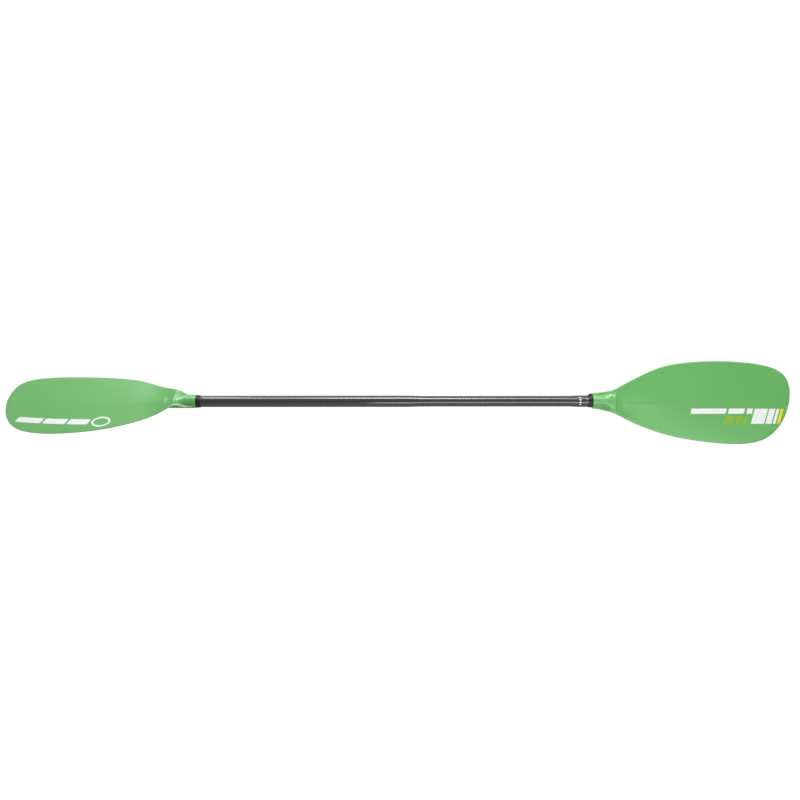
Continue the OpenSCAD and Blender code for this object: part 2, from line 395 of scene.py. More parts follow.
class Effects:
    """Node groups that several finishes share, built once."""

    def __init__(self) -> None:
        """Builds every group."""
        self.speckle = self._speckle()
        self.scuffs = self._scuffs()
        self.edge_wear = self._edge_wear()
        self.braid = self._braid()

    def _speckle(self) -> bpy.types.NodeTree:
        """Fine moulded grain with slow flow marks.

        Returns:
            A group that puts out a tone factor and a height.
        """
        values = {"Grain Scale": 900.0, "Flow Scale": 9.0, "Contrast": 0.1}
        flow_share, grain_share = 1.4, 0.6
        g, given, result = new_group("moulded_speckle", values, ("Tone", "Height"))
        grain = g.noise(given["Vector"], given["Grain Scale"], detail=3.0, roughness=0.6)
        drawn_out = g.stretch(given["Vector"], (0.35, 1.0, 1.0))
        flow = g.noise(drawn_out, given["Flow Scale"], detail=4.0, roughness=0.55)
        both = g.math("ADD", g.math("MULTIPLY", g.math("SUBTRACT", flow, 0.5), flow_share),
                      g.math("MULTIPLY", g.math("SUBTRACT", grain, 0.5), grain_share))
        g.join(g.math("ADD", 1.0, g.math("MULTIPLY", both, given["Contrast"])), result["Tone"])
        g.join(grain, result["Height"])
        return g.tree

    def _scuffs(self) -> bpy.types.NodeTree:
        """Sparse hairline scuffs from use, along and across, gathered in patches.

        Returns:
            A group that puts out a mask.
        """
        g, given, result = new_group("hairline_scuffs", {"Scale": 14.0, "Amount": 0.4}, ("Mask",))
        soft_edge, patch_scale = 0.09, 5.0
        masks = []
        for stretch, low in (((0.6, 5.0, 9.0), 0.66), ((6.0, 0.8, 4.0), 0.68)):
            lines = g.noise(g.stretch(given["Vector"], stretch), given["Scale"], detail=6.0, roughness=0.7)
            masks.append(g.ramp(lines, low, low + soft_edge))
        patch = g.ramp(g.noise(given["Vector"], patch_scale, detail=2.0), 0.45, 0.62)
        mask = g.math("MULTIPLY", g.math("MAXIMUM", masks[0], masks[1]), patch)
        g.join(g.math("MULTIPLY", mask, given["Amount"], clamp=True), result["Mask"])
        return g.tree

    def _edge_wear(self) -> bpy.types.NodeTree:
        """Nicks and abrasion that only reach a blade's rim.

        Returns:
            A group that puts out a mask.
        """
        g, given, result = new_group("rim_wear", {"Rim": 0.0, "Amount": 0.5}, ("Mask",))
        chip_scale, rim_pull, first_chip, all_worn = 160.0, 0.55, 0.98, 1.16
        chips = g.noise(given["Vector"], chip_scale, detail=5.0, roughness=0.7)
        reach = g.math("ADD", g.math("MULTIPLY", given["Rim"], rim_pull), chips)
        mask = g.math("MULTIPLY", g.ramp(reach, first_chip, all_worn), given["Amount"], clamp=True)
        g.join(mask, result["Mask"])
        return g.tree

    def _braid(self) -> bpy.types.NodeTree:
        """Braided sleeve of flat tows wound both ways around the shaft, with the pitch in metres.

        Returns:
            A group that puts out which tow is on top and the weave's height.
        """
        g, given, result = new_group("braided_tows", {"Tow Pitch": 0.004, "Turns": 22.0}, ("Over", "Height"))
        parts = g.tree.nodes.new("ShaderNodeSeparateXYZ")
        g.join(given["Vector"], parts.inputs[0])
        angle = g.math("ARCTAN2", parts.outputs["Z"], parts.outputs["Y"])
        around = g.math("MULTIPLY", angle, g.math("DIVIDE", given["Turns"], math.tau))
        along = g.math("DIVIDE", parts.outputs["X"], given["Tow Pitch"])
        left = g.math("ADD", along, around)
        right = g.math("SUBTRACT", along, around)
        cell = g.math("ADD", g.math("FLOOR", left), g.math("FLOOR", right))
        over = g.math("ABSOLUTE", g.math("MODULO", g.math("FLOOR", g.math("MULTIPLY", cell, 0.5)), 2.0))
        swell = [g.math("ABSOLUTE", g.math("SINE", g.math("MULTIPLY", s, math.pi))) for s in (left, right)]
        height = g.tree.nodes.new("ShaderNodeMix")
        for index, value in ((0, over), (2, swell[0]), (3, swell[1])):
            g.join(value, height.inputs[index])
        g.join(over, result["Over"])
        g.join(height.outputs[0], result["Height"])
        return g.tree


class MaterialGraph(Graph):
    """Node tree of one material, with its Principled node and its object coordinates."""

    def __init__(self, material: bpy.types.Material) -> None:
        """Starts the tree afresh with a Principled node.

        Args:
            material: The material, with its nodes on.
        """
        super().__init__(material.node_tree)
        self.tree.nodes.clear()
        self.shader = self.tree.nodes.new("ShaderNodeBsdfPrincipled")
        output = self.tree.nodes.new("ShaderNodeOutputMaterial")
        self.join(self.shader.outputs["BSDF"], output.inputs["Surface"])
        self.place = self.tree.nodes.new("ShaderNodeTexCoord").outputs["Object"]

    def put(self, name: str, value: object) -> None:
        """Links or sets one input of the Principled node."""
        self.feed(self.shader.inputs[name], value)


class FinishGraph(MaterialGraph):
    """Node tree of one finish, with the shared effects and a speckle of its own."""

    def __init__(self, material: bpy.types.Material, effects: Effects, grain: float, contrast: float) -> None:
        """Places the speckle.

        Args:
            material: The finish's material.
            effects: The shared node groups.
            grain: Scale of the speckle's grain.
            contrast: How much the speckle changes the colour.
        """
        super().__init__(material)
        self.effects = effects
        values = {"Vector": self.place, "Grain Scale": grain, "Contrast": contrast}
        speckle = self.group(effects.speckle, values)
        self.tone, self.height = speckle["Tone"], speckle["Height"]

    def toned(self, colour: object) -> object:
        """Multiplies a colour by the speckle's tone and gives the colour socket."""
        return self.mix(1.0, colour, self.tone, "MULTIPLY")

    def scuffed(self, scale: float, amount: float) -> object:
        """Places the hairline scuffs and gives their mask."""
        values = {"Vector": self.place, "Scale": scale, "Amount": amount}
        return self.group(self.effects.scuffs, values)["Mask"]

    def bump(self, height: object, distance: float, strength: float) -> None:
        """Feeds a height into the shader's normal.

        Args:
            height: Height socket.
            distance: Size of the relief in metres.
            strength: Strength of the bump.
        """
        node = self.tree.nodes.new("ShaderNodeBump")
        for name, value in {"Height": height, "Distance": distance, "Strength": strength}.items():
            self.feed(node.inputs[name], value)
        self.put("Normal", node.outputs["Normal"])


@dataclass(frozen=True)
class Finish:
    """Base of every finish: a named Principled material with a fine speckle, relief in metres."""

    name: str
    colour: Colour
    roughness: float
    specular: float = 0.5
    ior: float = 1.5
    coat: float = 0.0
    coat_roughness: float = 0.03
    grain: float = 900.0
    contrast: float = 0.3
    relief: float = 0.0002
    relief_strength: float = 0.4

    def build(self, effects: Effects) -> bpy.types.Material:
        """Makes the material.

        Args:
            effects: The shared node groups.

        Returns:
            The material.
        """
        material = bpy.data.materials.new(self.name)
        material.use_nodes = True
        g = FinishGraph(material, effects, self.grain, self.contrast)
        plain = {"Base Color": rgba(self.colour), "Roughness": self.roughness, "IOR": self.ior,
                 "Specular IOR Level": self.specular, "Coat Weight": self.coat,
                 "Coat Roughness": self.coat_roughness}
        for name, value in plain.items():
            g.put(name, value)
        g.bump(self.dress(g), self.relief, self.relief_strength)
        return material

    def dress(self, g: FinishGraph) -> object:
        """Varies the colour and the roughness over the surface.

        Args:
            g: Graph of the finish.

        Returns:
            The height socket for the relief.
        """
        raise NotImplementedError


@dataclass(frozen=True)
class MouldedNylon(Finish):
    """Fibre-filled nylon, satin from the mould, with flow marks, fibre speckle, scuffs and rim wear."""

    coat: float = 1.0
    coat_roughness: float = 0.24
    grain: float = 700.0
    contrast: float = 0.12
    relief: float = 0.00012
    relief_strength: float = 0.5
    pale: Colour = (0.3, 0.6, 0.25)
    scuff_scale: float = 16.0
    wear: float = 0.35
    worn_roughness: float = 0.25

    def dress(self, g: FinishGraph) -> object:
        """Pales and roughens the nylon where it is scuffed or nicked.

        Args:
            g: Graph of the finish.

        Returns:
            The height socket for the relief.
        """
        rim = g.tree.nodes.new("ShaderNodeAttribute")
        rim.attribute_name = RIM
        nicks = g.group(g.effects.edge_wear, {"Vector": g.place, "Rim": rim.outputs["Fac"]})["Mask"]
        worn = g.math("MAXIMUM", g.scuffed(self.scuff_scale, self.wear), nicks)
        g.put("Base Color", g.mix(worn, g.toned(rgba(self.colour)), rgba(self.pale)))
        g.put("Roughness", g.math("ADD", self.roughness, g.math("MULTIPLY", worn, self.worn_roughness)))
        return g.height


@dataclass(frozen=True)
class WovenComposite(Finish):
    """Braided fibre under clear resin: dark tows, with a painted glint (a lighter base colour) on the tows
    that lie on top, rougher between them.
    """

    coat: float = 0.3
    coat_roughness: float = 0.1
    grain: float = 1800.0
    contrast: float = 0.2
    relief: float = 0.0001
    relief_strength: float = 0.12
    # Base colour of the tows that lie on top: a painted glint, not a colour of the fibre
    painted_glint: Colour = (0.02, 0.02, 0.021)
    valley_roughness: float = 0.12

    def dress(self, g: FinishGraph) -> object:
        """Lays the braid over the speckle, with a painted glint on the tows that lie on top.

        Args:
            g: Graph of the finish.

        Returns:
            The braid's height socket.
        """
        braid = g.group(g.effects.braid, {"Vector": g.place})
        # The tows that lie on top get a lighter base colour: a painted glint
        tows_and_painted_glint = g.mix(braid["Over"], rgba(self.colour), rgba(self.painted_glint))
        g.put("Base Color", g.toned(tows_and_painted_glint))
        rough = self.roughness + self.valley_roughness
        g.put("Roughness", g.ramp(braid["Height"], 0.0, 1.0, rough, self.roughness))
        return braid["Height"]


@dataclass(frozen=True)
class PrintedFilm(Finish):
    """Printed film with a slightly uneven ink lay and worn specks."""

    grain: float = 1200.0
    contrast: float = 0.06
    relief: float = 0.00005
    relief_strength: float = 0.3
    under: Colour = (0.17, 0.46, 0.14)
    scuff_scale: float = 40.0
    wear: float = 0.5
    worn_roughness: float = 0.2

    def dress(self, g: FinishGraph) -> object:
        """Lets the blade's colour through where the ink is worn.

        Args:
            g: Graph of the finish.

        Returns:
            The height socket for the relief.
        """
        worn = g.scuffed(self.scuff_scale, self.wear)
        g.put("Base Color", g.mix(worn, g.toned(rgba(self.colour)), rgba(self.under)))
        g.put("Roughness", g.math("ADD", self.roughness, g.math("MULTIPLY", worn, self.worn_roughness)))
        return g.height


@dataclass(frozen=True)
class MottledSolid(Finish):
    """Solid whose colour and roughness follow its own grain."""

    valley: float = 0.3
    peak: float = 0.7
    smoother: float = 0.06
    rougher: float = 0.06

    def dress(self, g: FinishGraph) -> object:
        """Ties the roughness to the grain.

        Args:
            g: Graph of the finish.

        Returns:
            The height socket for the relief.
        """
        g.put("Base Color", g.toned(rgba(self.colour)))
        rough = self.roughness - self.smoother, self.roughness + self.rougher
        g.put("Roughness", g.ramp(g.height, self.valley, self.peak, *rough))
        return g.height


@dataclass(frozen=True)
class SealRubber(MottledSolid):
    """Black shrunk seal with a faint orange-peel skin."""

    grain: float = 420.0


@dataclass(frozen=True)
class CuredResin(MottledSolid):
    """Cured adhesive or closed-cell foam inside the joint: mottled, with small bubbles."""

    contrast: float = 0.35
    relief: float = 0.0003
    relief_strength: float = 0.5
    smoother: float = 0.1
    rougher: float = 0.0


# ---------------------------------------------------------------- mesh helpers


def ring_faces(count: int, sides: int, closed_ends: bool) -> Faces:
    """Faces that join rings of points one after another.

    Args:
        count: Number of rings.
        sides: Points in each ring.
        closed_ends: Whether the first and last ring are capped; if not, the last ring joins the first.

    Returns:
        The faces as tuples of point indices.
    """
    faces = []
    for i in range(count - 1 if closed_ends else count):
        j = (i + 1) % count
        for k in range(sides):
            m = (k + 1) % sides
            faces.append((i * sides + k, i * sides + m, j * sides + m, j * sides + k))
    if closed_ends:
        faces.append(tuple(range(sides - 1, -1, -1)))
        faces.append(tuple(range((count - 1) * sides, count * sides)))
    return faces


@dataclass(frozen=True)
class Grid:
    """Rows and columns of places on a surface, for one thin film."""

    rows: int
    columns: int
    wrap: bool
    places: list[tuple[float, float]]

    def faces(self, base: int) -> Faces:
        """Faces of the film: an upper grid of points, a lower grid after it, and the edge between.

        Args:
            base: Index of the film's first point.

        Returns:
            The faces as tuples of point indices.
        """
        under = self.rows * self.columns
        faces = []
        for i in range(self.rows if self.wrap else self.rows - 1):
            row, after = base + i * self.columns, base + (i + 1) % self.rows * self.columns
            for k in range(self.columns - 1):
                a, b, c, d = row + k, row + k + 1, after + k + 1, after + k
                faces += [(a, b, c, d), (a + under, d + under, c + under, b + under)]
            for k in (0, self.columns - 1):
                faces.append((row + k, after + k, after + k + under, row + k + under))
        for i in () if self.wrap else (0, self.rows - 1):
            for a in range(base + i * self.columns, base + (i + 1) * self.columns - 1):
                faces.append((a, a + 1, a + 1 + under, a + under))
        return faces


def film_faces(grids: list[Grid]) -> Faces:
    """Faces of several films whose points follow one another.

    Args:
        grids: The films' grids.

    Returns:
        The faces as tuples of point indices.
    """
    faces, base = [], 0
    for grid in grids:
        faces += grid.faces(base)
        base += len(FILM_LIFTS) * len(grid.places)
    return faces


@dataclass(frozen=True)
class Piece:
    """What one new piece is called, dressed in and stands for."""

    name: str
    material: bpy.types.Material
    slot: str
    node: str

    def make(self, points: Loop, faces: Faces, crease_deg: float = 32.0,
             rim: list[float] | None = None) -> None:
        """Makes the mesh, puts it on the root body and reports it.

        Args:
            points: Points in metres.
            faces: Faces as tuples of point indices.
            crease_deg: Edges sharper than this stay crisp.
            rim: Closeness to the rim of each point, from 0 to 1.
        """
        mesh = bpy.data.meshes.new(self.name)
        mesh.from_pydata(points, [], faces)
        bm = bmesh.new()
        bm.from_mesh(mesh)
        bmesh.ops.recalc_face_normals(bm, faces=bm.faces)
        bm.to_mesh(mesh)
        bm.free()
        mesh.shade_smooth()
        mesh.set_sharp_from_angle(angle=math.radians(crease_deg))
        if rim is not None:
            mesh.attributes.new(RIM, "FLOAT", "POINT").data.foreach_set("value", rim)
        mesh.materials.append(self.material)
        piece = bpy.data.objects.new(self.name, mesh)
        bpy.context.scene.collection.objects.link(piece)
        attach(piece, "root")
        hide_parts(self.node)
        log.info("%s: %d faces, stands for %s", self.name, len(mesh.polygons), self.node)


# ---------------------------------------------------------------- blade shape


@dataclass(frozen=True)
class Outline:
    """One slice of the blade's outline, along the blade and across from the shaft's axis."""

    u_long: float
    v_long: float
    u_short: float
    v_short: float

    def along(self, v: float) -> float:
        """Distance along the blade of a point across the slice."""
        share = (v - self.v_short) / (self.v_long - self.v_short)
        return self.u_short + (self.u_long - self.u_short) * share

    def gap(self, v: float) -> float:
        """Distance across from a point to the nearer rim."""
        return max(0.0, min(v - self.v_short, self.v_long - v))

    @property
    def half_width(self) -> float:
        """Half the width of the slice."""
        return (self.v_long - self.v_short) / 2


@dataclass(frozen=True)
class BladeForm:
    """Shape of one moulded blade: outline, spoon curve, hood, crest, rib and socket.

    A station is a place on the long side and one on the short side, each as (along, across). The
    curves run along the blade. The steps are the slices in each stretch between two stations.
    """

    stations: tuple[tuple[float, float, float, float], ...] = (
        (0, 20, 0, -18.4), (25, 23, 25, -23), (47, 28, 47, -30.5), (70, 39.5, 70, -41),
        (100, 54.5, 100, -54.8), (140, 73.5, 140, -70.5), (180, 87.8, 180, -83.3), (230, 96.5, 230, -94.5),
        (290, 100.5, 290, -103), (350, 99, 350, -107), (400, 93.5, 398, -102.5), (438, 84, 430, -89),
        (460, 71.5, 454, -65), (474, 54, 469, -37), (480, 33, 478, -7), (481, 20, 480.5, 10))
    steps: tuple[int, ...] = (12, 20, 56, 18, 14, 12, 12, 12, 12, 12, 12, 12, 10, 10, 8)
    sheet: Curve = (
        (0, 0), (22, 0), (32, 6), (40, 11.5), (48, 13), (56, 12), (64, 9.4), (74, 6), (86, 2.6),
        (104, -1), (125, -3.6), (160, -5.8), (205, -7.7), (250, -8.5), (300, -8), (350, -6), (400, -2.5),
        (440, 1.4), (481, 6.2))
    hood_width: Curve = ((0, 16.8), (26, 16.8), (36, 21), (44, 26), (60, 27), (80, 25), (481, 25))
    hood_height: Curve = (
        (0, 16.8), (28, 16.8), (42, 19.5), (51, 19.5), (54, 17), (57, 6), (60, 0), (481, 0))
    core_shift: Curve = ((0, 0), (26, 0), (46, 3), (62, 6), (481, 6))
    hood_power: Curve = ((0, 2), (30, 2), (42, 2.6), (481, 2.6))
    crest_height: Curve = (
        (0, 0), (60, 0), (68, 0.8), (78, 3.6), (90, 4), (150, 3.2), (230, 1.6), (320, 0), (481, 0))
    rib_depth: Curve = (
        (0, 16.8), (60, 16.8), (100, 15.6), (150, 14.4), (205, 13.2), (260, 11.6), (320, 6), (380, 0),
        (481, 0))
    rib_width: Curve = (
        (0, 16.8), (60, 16.8), (100, 15), (150, 13), (205, 11), (260, 9), (320, 7), (481, 7))
    rim_half: float = 1.5
    belly_half: float = 0.9
    crest_shift: float = 6.0
    crest_share: float = 0.8
    wing_end: float = 420.0
    rim_room: float = 0.6
    rib_flank: float = 10.0
    fillet: float = 1.5
    neck_lip: float = 2.5
    socket_r: float = 14.8
    socket_depth: float = 46.0
    mouth_round: float = 0.9
    rim_columns: int = 8
    wing_columns: int = 12
    core_columns: int = 26
    least_gap: float = 0.04
    far_from_rim: float = 20.0
    search_steps: int = 24

    @property
    def tip(self) -> float:
        """Distance along the blade to the tip."""
        return self.stations[-1][0]

    def outline(self, s: float) -> Outline:
        """Slice of the outline at a station number, on a smooth curve through the stations.

        Args:
            s: Station number, whole at the stations.

        Returns:
            The slice.
        """
        last = len(self.stations) - 1
        i = min(int(s), last - 1)
        near = [self.stations[max(0, min(last, i + k))] for k in (-1, 0, 1, 2)]
        return Outline(*(hermite(a, b, (b - before) / 2, (after - a) / 2, s - i)
                         for before, a, b, after in zip(*near)))

    def half_thick(self, d: float, w: float) -> float:
        """Half thickness of the sheet.

        Args:
            d: Distance to the rim.
            w: Half width of the slice.

        Returns:
            The half thickness.
        """
        edge = self.rim_half * arch(1 - min(1.0, d / (2 * self.rim_half)))
        return edge + self.belly_half * min(1.0, d / w)

    def face(self, u: float, v: float, d: float, w: float) -> float:
        """Height of the power face: sheet with crest, and the socket and hood over it.

        Args:
            u: Distance along the blade.
            v: Distance across.
            d: Distance to the rim.
            w: Half width of the slice.

        Returns:
            The height above the shaft's axis.
        """
        sheet = smooth(self.sheet, u)
        across = abs(v + self.crest_shift) / (self.crest_share * w)
        crest = smooth(self.crest_height, u) * max(0.0, 1 - across) ** 2
        hood = straight(self.hood_height, u)
        if hood > 0:
            across = (v + straight(self.core_shift, u)) / smooth(self.hood_width, u)
            hood *= arch(across, straight(self.hood_power, u))
        else:
            hood = sheet
        return higher(sheet + self.half_thick(d, w) + crest, hood, self.fillet)

    def back(self, u: float, v: float, d: float, w: float) -> float:
        """Height of the back: sheet, and the rib under it as far as the rib goes.

        Args:
            u: Distance along the blade.
            v: Distance across.
            d: Distance to the rim.
            w: Half width of the slice.

        Returns:
            The height above the shaft's axis.
        """
        sheet = self.half_thick(d, w) - smooth(self.sheet, u)
        depth, width = smooth(self.rib_depth, u), smooth(self.rib_width, u)
        if depth <= 0:
            return -sheet
        rib = depth * arch(v / width) if abs(v) < width else -self.rib_flank * (abs(v) - width)
        return -higher(sheet, rib, self.fillet)

    def flank(self, span: float) -> list[float]:
        """Distances from the rim inwards to the core, close together where the rim is rounded.

        Args:
            span: Distance from the rim to the core.

        Returns:
            The distances, from 0 up to just short of span.
        """
        total = self.rim_columns + self.wing_columns
        places = []
        for k in range(self.rim_columns + 1):
            round_part = 2 * self.rim_half * (1 - math.cos(math.pi / 2 * k / self.rim_columns))
            places.append(min(round_part, span * k / total))
        return places + spread(places[-1], span, self.wing_columns)[1:-1]

    def columns(self, o: Outline, core: float, mid: float) -> list[float]:
        """Places across one slice, from the short side to the long side.

        Args:
            o: The slice.
            core: Half width of the part where the columns are packed closer.
            mid: Middle of that part.

        Returns:
            The places.
        """
        middle = [mid + core * math.sin(a) for a in spread(-math.pi / 2, math.pi / 2, self.core_columns)]
        low = [o.v_short + d for d in self.flank(mid - core - o.v_short)]
        high = [o.v_long - d for d in reversed(self.flank(o.v_long - mid - core))]
        return low + middle + high

    def section(self, s: float) -> tuple[Loop, list[float]]:
        """One closed loop around the blade.

        Args:
            s: Station number.

        Returns:
            The loop's points as (along, across, height), and how far each one is from the rim.
        """
        o = self.outline(s)
        u, w = (o.u_long + o.u_short) / 2, o.half_width
        wing = u < self.wing_end
        mid = -straight(self.core_shift, u) if wing else (o.v_long + o.v_short) / 2
        reach = min(o.v_long, -o.v_short) - self.rim_room - abs(mid) if wing else w / 2
        front = self.columns(o, min(smooth(self.hood_width, u), reach), mid)
        rear = self.columns(o, min(smooth(self.rib_width, u), reach), 0.0 if wing else mid)
        loop, gaps = [], []
        for side, places in ((self.face, front), (self.back, rear[-2:0:-1])):
            for v in places:
                x = o.along(v)
                d = min(o.gap(v), max(self.least_gap, self.tip - x))
                loop.append((x, v, side(x, v, d, w)))
                gaps.append(d)
        return loop, gaps

    def body(self) -> tuple[list[Loop], list[float]]:
        """Loops from the socket's floor out of its mouth and along to the tip.

        Returns:
            The loops, and every point's distance from the rim.
        """
        numbers = [i + k / n for i, n in enumerate(self.steps) for k in range(n)] + [len(self.steps)]
        sections = [self.section(s) for s in numbers]
        loops = [loop for loop, _ in sections]
        neck = loops[0]
        lips = []
        for turn in (0.0, 0.35, 0.7, 1.0):
            inset = self.mouth_round * (1 - math.sin(turn * math.pi / 2))
            u = self.mouth_round * (1 - math.cos(turn * math.pi / 2)) - self.neck_lip
            lips.append([(u, v * shrink(v, n, inset), n * shrink(v, n, inset)) for _, v, n in neck])
        inner = [[(depth - self.neck_lip, *on_circle(v, n, self.socket_r)) for _, v, n in neck]
                 for depth in (self.socket_depth, self.socket_depth / 2, self.mouth_round, 0.0)]
        gaps = [self.far_from_rim] * (len(neck) * len(inner + lips))
        return inner + lips + loops, gaps + [gap for _, row in sections for gap in row]

    def height_at(self, u: float, v: float) -> float:
        """Height of the power face at one point, away from the neck.

        Args:
            u: Distance along the blade.
            v: Distance across.

        Returns:
            The height.
        """
        low, high = 0.0, float(len(self.stations) - 1)
        for _ in range(self.search_steps):
            middle = (low + high) / 2
            if self.outline(middle).along(v) < u:
                low = middle
            else:
                high = middle
        o = self.outline(low)
        return self.face(u, v, o.gap(v), o.half_width)


# ---------------------------------------------------------------- sub-assemblies


@dataclass(frozen=True)
class Bar:
    """One slanted bar of film: its ends along the top edge, its edges across, and its lean."""

    start: float
    end: float
    low: float
    high: float
    lean: float


@dataclass(frozen=True)
class FilmMark:
    """One printed mark on a blade, standing for one CAD node."""

    node: str
    slot: str
    motif: Motif
    bars: tuple[Bar, ...] = ()


def bars_between(low: float, high: float, lean: float, *spans: tuple[float, float]) -> tuple[Bar, ...]:
    """A row of bars with common edges.

    Args:
        low: Lower edge.
        high: Upper edge.
        lean: How far the ends lean along the blade for each unit across.
        *spans: Start and end of each bar.

    Returns:
        The bars.
    """
    return tuple(Bar(a, b, low, high, lean) for a, b in spans)


@dataclass
class BladeEnd:
    """One end of the paddle: moulded blade, seal collar, film marks, adhesive and foam plug."""

    side: Side
    feather_deg: float
    form: BladeForm
    finishes: dict[str, bpy.types.Material]
    marks: tuple[FilmMark, ...]
    wear_reach: float = 9.0
    collar_start_r: float = 14.6
    collar_end_r: float = 15.8
    collar_flat: float = 5.0
    collar_sides: int = 96
    collar_rings: int = 18
    collar_lip: float = 0.45
    ripple: float = 0.05
    ripples: int = 3
    lobe_r: float = 2.2
    lobe_v: float = 17.2
    bond_r: float = 14.2
    corner: float = 1.6
    corner_rows: int = 5
    row_step: float = 2.5
    column_step: float = 3.0
    ring_centre: tuple[float, float] = (222.0, -66.0)
    ring_size: tuple[float, float] = (23.5, 17.0)
    ring_band: float = 5.0
    ring_sides: int = 72
    ring_columns: int = 5

    def __post_init__(self) -> None:
        """Takes the mouth and the collar's length from the frame."""
        low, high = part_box(f"{self.side.value}_blade")
        self.mouth = min(abs(low.x), abs(high.x)) / MM
        low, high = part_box(f"{self.side.value}_collar")
        self.collar_len = (high.x - low.x) / MM

    def place(self, u: float, v: float, n: float) -> Point:
        """Point of the blade's own frame in the paddle's frame, in metres.

        Args:
            u: Distance along the blade, in millimetres.
            v: Distance across, towards the long side.
            n: Height towards the power face.

        Returns:
            The point.
        """
        x = (self.mouth + self.form.neck_lip + u) * MM
        if self.side is Side.RIGHT:
            return x, -n * MM, v * MM
        turn = math.radians(self.feather_deg)
        y = v * math.sin(turn) - n * math.cos(turn)
        z = v * math.cos(turn) + n * math.sin(turn)
        return -x, y * MM, z * MM

    def piece(self, word: str, slot: str, node: str) -> Piece:
        """Names a piece of this end."""
        return Piece(f"{self.side.value}_{word}", self.finishes[slot], slot, node)

    def moulding(self, body: tuple[list[Loop], list[float]]) -> None:
        """Builds the moulded blade.

        Args:
            body: Loops and rim distances of the blade's shape.
        """
        loops, gaps = body
        points = [self.place(*p) for loop in loops for p in loop]
        rim = [1 - ease(d / self.wear_reach) for d in gaps]
        piece = self.piece("moulding", "blade_nylon", f"{self.side.value}_blade")
        piece.make(points, ring_faces(len(loops), len(loops[0]), True), rim=rim)

    def collar_radius(self, angle: float, share: float) -> float:
        """Radius of the seal collar, which swells towards the raised side of the neck.

        Args:
            angle: Angle around the axis, 0 on the long side.
            share: Share of the collar's length, 0 at the thin end.

        Returns:
            The radius.
        """
        full = self.collar_end_r
        away = math.acos((full - self.lobe_r) / self.lobe_v)
        touch = math.atan2(self.lobe_r * math.sin(away), self.lobe_v + self.lobe_r * math.cos(away))
        angle = abs(math.remainder(angle, math.tau))
        if angle > away:
            hull = full
        elif angle > touch:
            hull = full / math.cos(away - angle)
        else:
            sine = self.lobe_v * math.sin(angle)
            hull = self.lobe_v * math.cos(angle) + math.sqrt(self.lobe_r ** 2 - sine ** 2)
        grown = min(1.0, share / (1 - self.collar_flat / self.collar_len))
        swell = ease(grown)
        plain = self.collar_start_r + (full - self.collar_start_r) * (grown + swell) / 2
        shrink_marks = self.ripple * math.sin(share * math.tau * self.ripples) * (1 - share)
        return plain + shrink_marks + (hull - full) * swell

    def seal(self) -> None:
        """Builds the flared seal collar: its skin with rounded lips, and the bore."""
        full, lip = self.collar_len, self.collar_lip
        lips = [(lip * (1 - math.cos(t)), lip * (1 - math.sin(t))) for t in (0.0, math.pi / 6, math.pi / 3)]
        skin = [(along - full, inset) for along, inset in lips]
        skin += [(u, 0.0) for u in spread(lip - full, -lip, self.collar_rings)]
        skin += [(-along, inset) for along, inset in reversed(lips)]
        angles = turns(self.collar_sides)
        reach = [(u, [self.collar_radius(a, 1 + u / full) - inset for a in angles]) for u, inset in skin]
        bore = [self.bond_r] * len(angles)
        points = [self.place(u - self.form.neck_lip, r * math.cos(a), r * math.sin(a))
                  for u, radii in [(-full, bore), *reach, (0.0, bore)] for a, r in zip(angles, radii)]
        piece = self.piece("seal", "seal_rubber", f"{self.side.value}_collar")
        piece.make(points, ring_faces(len(skin) + 2, len(angles), False), crease_deg=50)

    def lifted(self, u: float, v: float, lift: float) -> Point:
        """Point on the power face, raised by a distance."""
        return self.place(u, v, self.form.height_at(u, v) + lift)

    def bar_grid(self, bar: Bar) -> Grid:
        """Grid of places over one bar with rounded corners.

        Args:
            bar: The bar.

        Returns:
            The grid, with places as (along, across).
        """
        corner = min(self.corner, (bar.end - bar.start) / 3)
        arc = [corner * (1 - math.cos(a)) for a in spread(0.0, math.pi / 2, self.corner_rows)]
        low, high = bar.low + corner, bar.high - corner
        inner = max(2, round((high - low) / self.row_step))
        rows = [bar.low + d for d in arc] + spread(low, high, inner)[1:-1] + [bar.high - d for d in arc[::-1]]
        columns = max(4, round((bar.end - bar.start) / self.column_step))
        places = []
        for v in rows:
            cut = corner_cut(corner, min(v - bar.low, bar.high - v))
            shift = bar.lean * (v - bar.high)
            places += [(u + shift, v) for u in spread(bar.start + cut, bar.end - cut, columns)]
        return Grid(len(rows), columns + 1, False, places)

    def ring_grid(self) -> Grid:
        """Grid of places over the oval ring.

        Returns:
            The grid, with places as (along, across).
        """
        (u, v), (half_long, half_high) = self.ring_centre, self.ring_size
        insets = spread(0.0, self.ring_band, self.ring_columns - 1)
        places = [(u + (half_long - inset) * math.cos(a), v + (half_high - inset) * math.sin(a))
                  for a in turns(self.ring_sides) for inset in insets]
        return Grid(self.ring_sides, self.ring_columns, True, places)

    def film_mark(self, mark: FilmMark) -> None:
        """Builds one film mark, laid on the curved face.

        Args:
            mark: The mark.
        """
        grids = [self.ring_grid()] if mark.motif is Motif.RING else [self.bar_grid(bar) for bar in mark.bars]
        points = [self.lifted(u, v, lift) for grid in grids for lift in FILM_LIFTS for u, v in grid.places]
        word = mark.node.split("_", 1)[1] + "_film"
        self.piece(word, mark.slot, mark.node).make(points, film_faces(grids), crease_deg=40)

    def dress_inner_parts(self) -> None:
        """Gives the adhesive and the foam plug their finishes."""
        for word, finish in (("adhesive", "adhesive"), ("plug", "foam")):
            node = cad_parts[f"{self.side.value}_{word}"]
            node.data.materials.clear()
            node.data.materials.append(self.finishes[finish])
            log.info("%s: dressed as %s", node.name, finish)

    def build(self, body: tuple[list[Loop], list[float]]) -> None:
        """Builds and dresses the whole end.

        Args:
            body: Loops and rim distances of the blade's shape.
        """
        self.moulding(body)
        self.seal()
        for mark in self.marks:
            self.film_mark(mark)
        self.dress_inner_parts()


